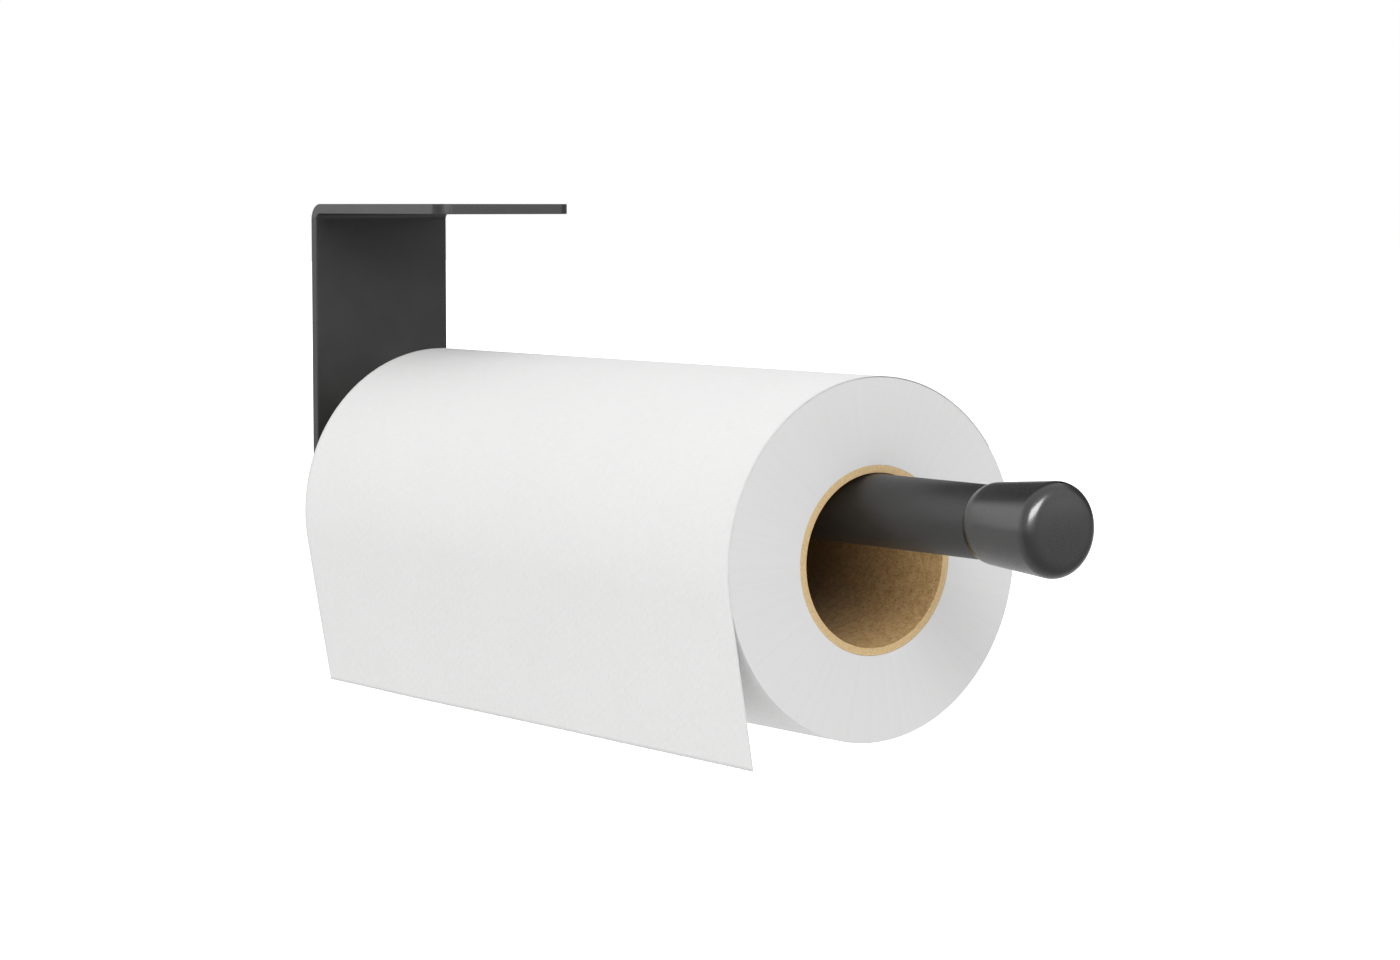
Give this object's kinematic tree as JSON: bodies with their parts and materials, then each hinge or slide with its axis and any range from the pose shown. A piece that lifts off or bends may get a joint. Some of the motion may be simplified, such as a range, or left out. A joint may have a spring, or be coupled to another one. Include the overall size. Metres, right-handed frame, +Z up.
{
  "type": "under-cabinet paper towel holder",
  "caption": "Under-cabinet paper towel holder: bent steel bracket, tube with a flared end cap, and a paper towel roll that turns and slides on the tube.",
  "frame": {"origin": "centre of the four mounting holes, on the flange's top face", "axes": "+X along the tube from the strap to its free end, +Z up through the flange's top face, -Y the side that the loose sheet hangs on"},
  "size_m": [0.424, 0.1258, 0.1899],
  "materials": {
    "black_powder_coat": "satin",
    "zinc_steel": "satin",
    "black_oxide_steel": "satin",
    "black_rubber": "satin",
    "brown_paperboard": "matte",
    "white_towel": "matte"
  },
  "bodies": {
    "holder": {"bracket_plate": "black_powder_coat", "bar_tube": "black_powder_coat", "bar_plug": "zinc_steel", "bar_screw": "black_oxide_steel", "end_cap": "black_rubber"},
    "core": {"roll_core": "brown_paperboard"},
    "towel": {"towel_roll": "white_towel"},
    "sheet": {"loose_sheet": "white_towel"}
  },
  "joints": [
    {"name": "roll_slide", "type": "slide", "parent": "holder", "child": "core", "axis": [1, 0, 0], "range_m": [-0.043, 0.058]},
    {"name": "roll_spin", "type": "hinge", "parent": "core", "child": "towel", "pos_m": [0.139, 0, -0.12195], "axis": [1, 0, 0], "continuous": true},
    {"name": "sheet_swing", "type": "hinge", "parent": "towel", "child": "sheet", "pos_m": [0.139, -0.06238, -0.13272], "axis": [-1, 0, 0], "range_deg": [0, 60]}
  ]
}
